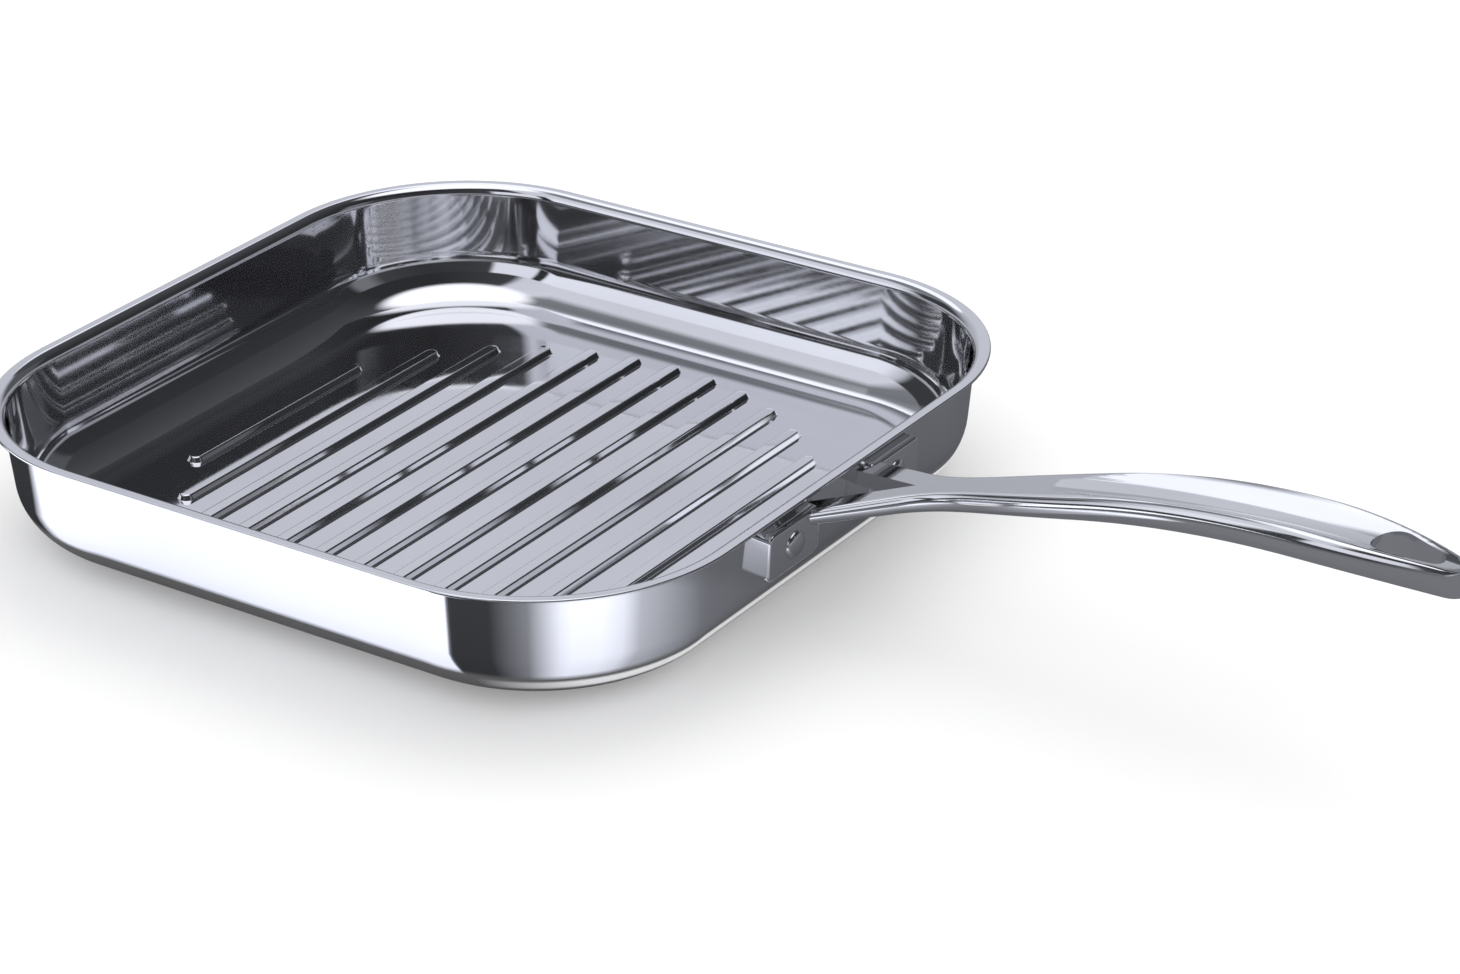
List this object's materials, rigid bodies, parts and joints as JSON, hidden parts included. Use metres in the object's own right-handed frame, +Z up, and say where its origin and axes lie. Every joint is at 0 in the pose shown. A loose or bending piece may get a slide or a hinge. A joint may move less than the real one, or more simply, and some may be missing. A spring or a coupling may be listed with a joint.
{
  "type": "grill pan",
  "caption": "Square stainless steel grill pan with round corners, a flared rim, ribs raised from the floor, a bonded base and a riveted forked handle with a hanging hole",
  "frame": {"origin": "centre of the underside, on the surface that the pan stands on", "axes": "+X from the middle of the pan out along the handle, +Y along the ribs, +Z up out of the pan"},
  "size_m": [0.4572, 0.26, 0.0689],
  "materials": {
    "pan_steel": "polished",
    "core_aluminium": "satin",
    "cap_steel": "satin",
    "handle_steel": "polished",
    "rivet_steel": "polished"
  },
  "bodies": {
    "root": {"pan_body": "pan_steel", "base_core": "core_aluminium", "base_cap": "cap_steel", "handle": "handle_steel", "rivet_near": "rivet_steel", "rivet_far": "rivet_steel"}
  },
  "joints": []
}
